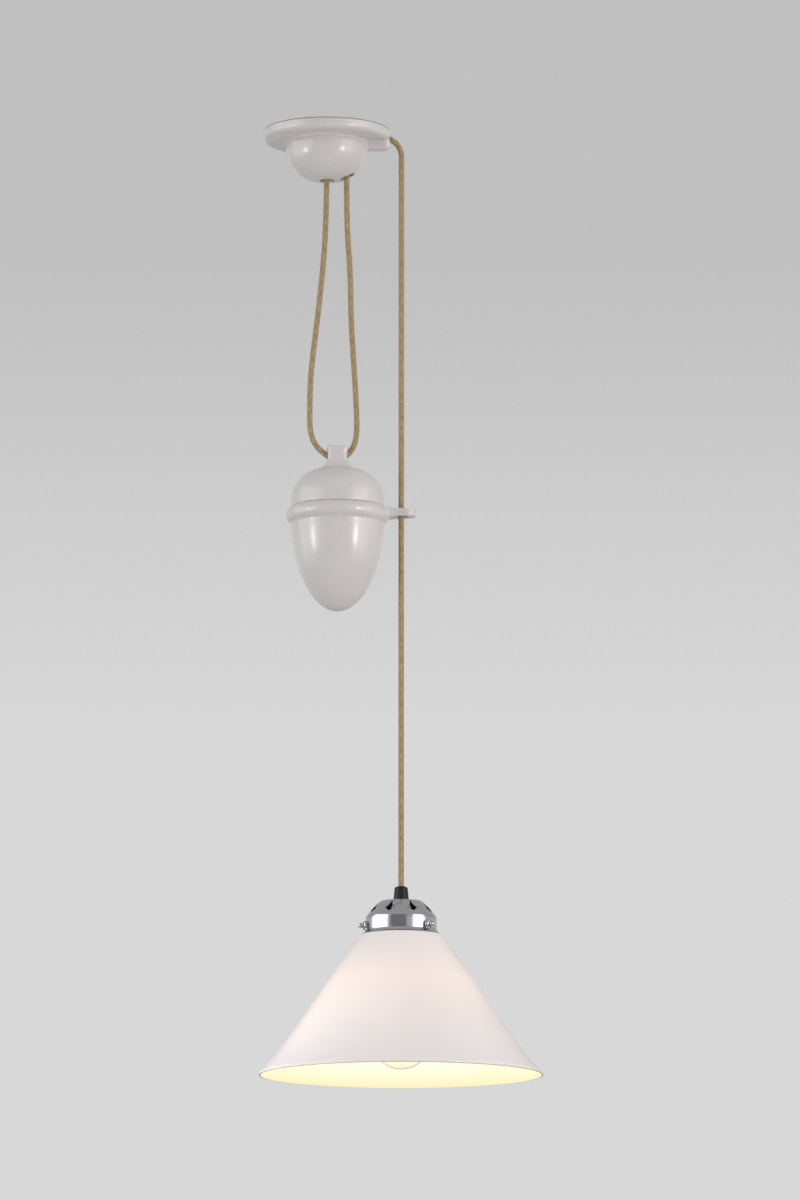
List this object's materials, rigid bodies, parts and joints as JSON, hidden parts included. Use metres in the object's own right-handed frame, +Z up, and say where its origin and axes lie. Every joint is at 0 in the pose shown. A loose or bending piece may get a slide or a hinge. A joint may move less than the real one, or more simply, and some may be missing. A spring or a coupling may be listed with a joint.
{
  "type": "rise and fall pendant",
  "caption": "Ceiling pendant with a conical glass shade on a braided flex that runs over pulleys in the rose and round a glazed counterweight, so the lamp can be pulled up and down.",
  "frame": {"origin": "centre of the ceiling rose, in the plane of the ceiling", "axes": "+Z up into the ceiling; +X from the rose's centre towards the side where the flex leaves for the lamp; the room views it from -Y"},
  "size_m": [0.3008, 0.3008, 1.0234],
  "materials": {
    "porcelain": "gloss",
    "plate_steel": "satin",
    "fastener_steel": "satin",
    "pulley_brass": "satin",
    "flex_braid": "matte",
    "core_brown": "satin",
    "core_blue": "satin",
    "core_green": "satin",
    "block_plastic": "satin",
    "cork": "matte",
    "iron": "matte",
    "grip_plastic": "satin",
    "spun_aluminium": "polished",
    "opal_glass": "gloss",
    "silicone": "matte",
    "steatite": "matte",
    "cap_glass": "gloss",
    "clear_glass": "gloss",
    "filament": "matte"
  },
  "bodies": {
    "rose": {"ceiling_plate": "plate_steel", "rose_cover": "porcelain", "cover_screws": "fastener_steel", "pulley_bracket": "plate_steel", "bracket_rivets": "fastener_steel", "inner_pulley_pin": "fastener_steel", "pin_clip": "fastener_steel", "exit_roller_pin": "fastener_steel", "clamp_bracket": "plate_steel", "clamp_bar": "plate_steel", "clamp_screws": "fastener_steel", "terminal_block": "block_plastic", "terminal_inserts": "pulley_brass", "terminal_screws": "fastener_steel", "block_screws": "fastener_steel", "earth_screw": "fastener_steel", "earth_washer": "fastener_steel", "core_live": "core_brown", "core_neutral": "core_blue", "core_earth": "core_green", "cord_tail": "flex_braid", "cord_over_pulley": "flex_braid", "cord_loop": "flex_braid", "cord_drop": "flex_braid"},
    "inner_pulley": {"inner_pulley": "pulley_brass"},
    "exit_roller": {"exit_roller": "pulley_brass"},
    "counterweight": {"weight_cap": "porcelain", "weight_body": "porcelain", "seat_ring": "cork", "ballast": "iron", "tie_bolt": "fastener_steel", "neck_roller_pin": "fastener_steel"},
    "neck_roller": {"neck_roller": "pulley_brass"},
    "lamp": {"cord_lamp_end": "flex_braid", "cord_grip": "grip_plastic", "grip_screw": "fastener_steel", "threaded_nipple": "fastener_steel", "lock_washer": "fastener_steel", "lock_nut": "fastener_steel", "gallery": "spun_aluminium", "screw_bosses": "spun_aluminium", "shade": "opal_glass", "shade_ring": "silicone", "holder_cap": "grip_plastic", "holder_body": "grip_plastic", "holder_insert": "steatite", "holder_terminals": "pulley_brass", "holder_cores": "core_green", "socket_shell": "pulley_brass", "socket_contact": "pulley_brass", "bulb_cap": "spun_aluminium", "bulb_insulator": "cap_glass", "bulb_tip": "spun_aluminium", "bulb_glass": "clear_glass", "bulb_stem": "clear_glass", "bulb_filaments": "filament"},
    "thumbscrew_1": {"gallery_screw_1": "spun_aluminium"},
    "thumbscrew_2": {"gallery_screw_2": "spun_aluminium"},
    "thumbscrew_3": {"gallery_screw_3": "spun_aluminium"}
  },
  "joints": [
    {"name": "lamp_slide", "type": "slide", "parent": "rose", "child": "lamp", "axis": [0, 0, 1], "range_m": [-0.3, 0.2], "deforming": ["cord_drop"]},
    {"name": "weight_slide", "type": "slide", "parent": "rose", "child": "counterweight", "axis": [0, 0, 1], "range_m": [-0.1, 0.15], "deforming": ["cord_loop"]},
    {"name": "inner_pulley_spin", "type": "hinge", "parent": "rose", "child": "inner_pulley", "pos_m": [0.0306, 0, -0.01391], "axis": [0, 1, 0], "continuous": true},
    {"name": "exit_roller_spin", "type": "hinge", "parent": "rose", "child": "exit_roller", "pos_m": [0.05867, 0, -0.01241], "axis": [0, 1, 0], "continuous": true},
    {"name": "neck_roller_spin", "type": "hinge", "parent": "counterweight", "child": "neck_roller", "pos_m": [0.0123, 0, -0.3536], "axis": [0, 1, 0], "continuous": true},
    {"name": "thumbscrew_1_slide", "type": "slide", "parent": "lamp", "child": "thumbscrew_1", "axis": [0.7314, -0.682, 0], "range_m": [0, 0.004]},
    {"name": "thumbscrew_2_slide", "type": "slide", "parent": "lamp", "child": "thumbscrew_2", "axis": [-0.9563, -0.2924, 0], "range_m": [0, 0.004]},
    {"name": "thumbscrew_3_slide", "type": "slide", "parent": "lamp", "child": "thumbscrew_3", "axis": [0.225, 0.9744, 0], "range_m": [0, 0.004]}
  ],
  "couplings": [
    {"joint": "weight_slide", "follows": "lamp_slide", "ratio": -0.5},
    {"joint": "inner_pulley_spin", "follows": "lamp_slide", "rad_per_m": -112.36},
    {"joint": "exit_roller_spin", "follows": "lamp_slide", "rad_per_m": -135.14},
    {"joint": "neck_roller_spin", "follows": "lamp_slide", "rad_per_m": 64.103}
  ]
}
